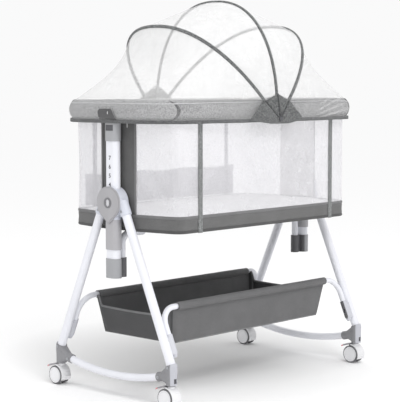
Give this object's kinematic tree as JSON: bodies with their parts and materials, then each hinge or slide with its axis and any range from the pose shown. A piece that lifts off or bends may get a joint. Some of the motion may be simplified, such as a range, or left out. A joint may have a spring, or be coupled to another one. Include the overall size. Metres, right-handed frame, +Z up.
{
  "type": "bassinet on stand",
  "caption": "Baby bassinet on a rocking A-frame stand with castors, height-adjustable mesh bed, folding net canopy and storage basket.",
  "frame": {"origin": "on the floor, under the middle of the bed and midway between the four castor stems", "axes": "+X along the bed's length towards end B, +Y towards the rear side with the pocket, +Z up"},
  "size_m": [0.905, 0.5473, 1.156],
  "materials": {
    "white_tube": "satin powder coat",
    "foot_plastic": "satin moulded",
    "hub_plastic": "satin moulded",
    "cover_plastic": "satin moulded",
    "dark_plastic": "satin moulded",
    "castor_white": "gloss",
    "castor_tyre": "matte",
    "pedal_plastic": "satin moulded",
    "basket_fabric": "woven polyester",
    "screw_steel": "zinc plated",
    "bolt_steel": "zinc plated",
    "rail_fabric": "heather melange weave over padding",
    "base_fabric": "dark melange weave",
    "board": "unfinished",
    "mattress_fabric": "soft knitted cover",
    "mesh_fabric": "open net",
    "hoop_rod": "fabric covered"
  },
  "bodies": {
    "stand": {"leg_a_front": "white_tube", "leg_a_rear": "white_tube", "leg_b_front": "white_tube", "leg_b_rear": "white_tube", "foot_socket_a_front": "foot_plastic", "foot_socket_a_rear": "foot_plastic", "foot_socket_b_front": "foot_plastic", "foot_socket_b_rear": "foot_plastic", "rocker_tubes": "white_tube", "hub_housing_a": "hub_plastic", "hub_housing_b": "hub_plastic", "hub_covers": "cover_plastic", "basket_clips": "foot_plastic", "basket_tubes": "white_tube", "basket": "basket_fabric", "stand_screws": "screw_steel"},
    "castor_a_front": {"castor_fork_a_front": "castor_white"},
    "wheels_a_front": {"castor_tyres_a_front": "castor_tyre", "castor_discs_a_front": "castor_white"},
    "pedal_a_front": {"brake_pedal_a_front": "pedal_plastic"},
    "release_a_front": {"castor_release_a_front": "dark_plastic"},
    "castor_a_rear": {"castor_fork_a_rear": "castor_white"},
    "wheels_a_rear": {"castor_tyres_a_rear": "castor_tyre", "castor_discs_a_rear": "castor_white"},
    "pedal_a_rear": {"brake_pedal_a_rear": "pedal_plastic"},
    "release_a_rear": {"castor_release_a_rear": "dark_plastic"},
    "castor_b_front": {"castor_fork_b_front": "castor_white"},
    "wheels_b_front": {"castor_tyres_b_front": "castor_tyre", "castor_discs_b_front": "castor_white"},
    "pedal_b_front": {"brake_pedal_b_front": "pedal_plastic"},
    "release_b_front": {"castor_release_b_front": "dark_plastic"},
    "castor_b_rear": {"castor_fork_b_rear": "castor_white"},
    "wheels_b_rear": {"castor_tyres_b_rear": "castor_tyre", "castor_discs_b_rear": "castor_white"},
    "pedal_b_rear": {"brake_pedal_b_rear": "pedal_plastic"},
    "release_b_rear": {"castor_release_b_rear": "dark_plastic"},
    "height_button_a": {"height_button_a": "cover_plastic"},
    "lock_bolt_a": {"lock_bolt_a": "bolt_steel"},
    "rail_release_a": {"rail_release_a": "cover_plastic"},
    "height_button_b": {"height_button_b": "cover_plastic"},
    "lock_bolt_b": {"lock_bolt_b": "bolt_steel"},
    "rail_release_b": {"rail_release_b": "cover_plastic"},
    "bed": {"columns": "white_tube", "column_sockets": "foot_plastic", "column_caps": "foot_plastic", "support_tubes": "white_tube", "rail_frame": "bolt_steel", "rail_cover": "rail_fabric", "base_band": "base_fabric", "base_board": "board", "mattress": "mattress_fabric", "mesh_walls": "mesh_fabric", "end_panels": "base_fabric", "straps": "base_fabric", "storage_pocket": "rail_fabric", "hoop_pins": "dark_plastic", "canopy_net": "mesh_fabric"},
    "hoop_left": {"hoop_left": "hoop_rod"},
    "hoop_mid": {"hoop_mid": "hoop_rod"},
    "hoop_right": {"hoop_right": "hoop_rod"}
  },
  "joints": [
    {"name": "castor_swivel_a_front", "type": "hinge", "parent": "stand", "child": "castor_a_front", "pos_m": [-0.428, -0.23, 0.075], "axis": [0, 0, 1], "continuous": true},
    {"name": "wheel_spin_a_front", "type": "hinge", "parent": "castor_a_front", "child": "wheels_a_front", "pos_m": [-0.428, -0.219, 0.028], "axis": [1, 0, 0], "continuous": true},
    {"name": "brake_press_a_front", "type": "hinge", "parent": "castor_a_front", "child": "pedal_a_front", "pos_m": [-0.428, -0.222, 0.05], "axis": [-1, 0, 0], "range_deg": [0, 12]},
    {"name": "castor_release_press_a_front", "type": "slide", "parent": "stand", "child": "release_a_front", "axis": [0, 1, 0], "range_m": [0, 0.002], "stiffness_N_per_m": 300, "springref_m": -0.001},
    {"name": "castor_swivel_a_rear", "type": "hinge", "parent": "stand", "child": "castor_a_rear", "pos_m": [-0.428, 0.23, 0.075], "axis": [0, 0, 1], "continuous": true},
    {"name": "wheel_spin_a_rear", "type": "hinge", "parent": "castor_a_rear", "child": "wheels_a_rear", "pos_m": [-0.428, 0.241, 0.028], "axis": [1, 0, 0], "continuous": true},
    {"name": "brake_press_a_rear", "type": "hinge", "parent": "castor_a_rear", "child": "pedal_a_rear", "pos_m": [-0.428, 0.238, 0.05], "axis": [-1, 0, 0], "range_deg": [0, 12]},
    {"name": "castor_release_press_a_rear", "type": "slide", "parent": "stand", "child": "release_a_rear", "axis": [0, -1, 0], "range_m": [0, 0.002], "stiffness_N_per_m": 300, "springref_m": -0.001},
    {"name": "castor_swivel_b_front", "type": "hinge", "parent": "stand", "child": "castor_b_front", "pos_m": [0.428, -0.23, 0.075], "axis": [0, 0, 1], "continuous": true},
    {"name": "wheel_spin_b_front", "type": "hinge", "parent": "castor_b_front", "child": "wheels_b_front", "pos_m": [0.428, -0.219, 0.028], "axis": [1, 0, 0], "continuous": true},
    {"name": "brake_press_b_front", "type": "hinge", "parent": "castor_b_front", "child": "pedal_b_front", "pos_m": [0.428, -0.222, 0.05], "axis": [-1, 0, 0], "range_deg": [0, 12]},
    {"name": "castor_release_press_b_front", "type": "slide", "parent": "stand", "child": "release_b_front", "axis": [0, 1, 0], "range_m": [0, 0.002], "stiffness_N_per_m": 300, "springref_m": -0.001},
    {"name": "castor_swivel_b_rear", "type": "hinge", "parent": "stand", "child": "castor_b_rear", "pos_m": [0.428, 0.23, 0.075], "axis": [0, 0, 1], "continuous": true},
    {"name": "wheel_spin_b_rear", "type": "hinge", "parent": "castor_b_rear", "child": "wheels_b_rear", "pos_m": [0.428, 0.241, 0.028], "axis": [1, 0, 0], "continuous": true},
    {"name": "brake_press_b_rear", "type": "hinge", "parent": "castor_b_rear", "child": "pedal_b_rear", "pos_m": [0.428, 0.238, 0.05], "axis": [-1, 0, 0], "range_deg": [0, 12]},
    {"name": "castor_release_press_b_rear", "type": "slide", "parent": "stand", "child": "release_b_rear", "axis": [0, -1, 0], "range_m": [0, 0.002], "stiffness_N_per_m": 300, "springref_m": -0.001},
    {"name": "bed_height", "type": "slide", "parent": "stand", "child": "bed", "axis": [0, 0, 1], "range_m": [-0.127, 0.0254]},
    {"name": "height_button_press_a", "type": "slide", "parent": "stand", "child": "height_button_a", "axis": [1, 0, 0], "range_m": [0, 0.0025], "stiffness_N_per_m": 600, "springref_m": -0.001},
    {"name": "lock_bolt_slide_a", "type": "slide", "parent": "stand", "child": "lock_bolt_a", "axis": [0, 1, 0], "range_m": [0, 0.0025]},
    {"name": "rail_release_press_a", "type": "slide", "parent": "bed", "child": "rail_release_a", "axis": [1, 0, 0], "range_m": [0, 0.003], "stiffness_N_per_m": 300, "springref_m": -0.001},
    {"name": "height_button_press_b", "type": "slide", "parent": "stand", "child": "height_button_b", "axis": [-1, 0, 0], "range_m": [0, 0.0025], "stiffness_N_per_m": 600, "springref_m": -0.001},
    {"name": "lock_bolt_slide_b", "type": "slide", "parent": "stand", "child": "lock_bolt_b", "axis": [0, 1, 0], "range_m": [0, 0.0025]},
    {"name": "rail_release_press_b", "type": "slide", "parent": "bed", "child": "rail_release_b", "axis": [-1, 0, 0], "range_m": [0, 0.003], "stiffness_N_per_m": 300, "springref_m": -0.001},
    {"name": "hoop_right_fold", "type": "hinge", "parent": "bed", "child": "hoop_right", "pos_m": [0, 0, 0.796], "axis": [0, 1, 0], "range_deg": [0, 22], "deforming": ["canopy_net"]},
    {"name": "hoop_mid_fold", "type": "hinge", "parent": "hoop_right", "child": "hoop_mid", "pos_m": [0, 0, 0.796], "axis": [0, 1, 0], "range_deg": [0, 39.01]},
    {"name": "hoop_left_fold", "type": "hinge", "parent": "hoop_mid", "child": "hoop_left", "pos_m": [0, 0, 0.796], "axis": [0, 1, 0], "range_deg": [0, 39.01]}
  ],
  "couplings": [
    {"joint": "lock_bolt_slide_a", "follows": "height_button_press_a", "ratio": 1},
    {"joint": "lock_bolt_slide_b", "follows": "height_button_press_b", "ratio": 1},
    {"joint": "hoop_mid_fold", "follows": "hoop_right_fold", "ratio": 1.7727},
    {"joint": "hoop_left_fold", "follows": "hoop_right_fold", "ratio": 1.7727}
  ]
}
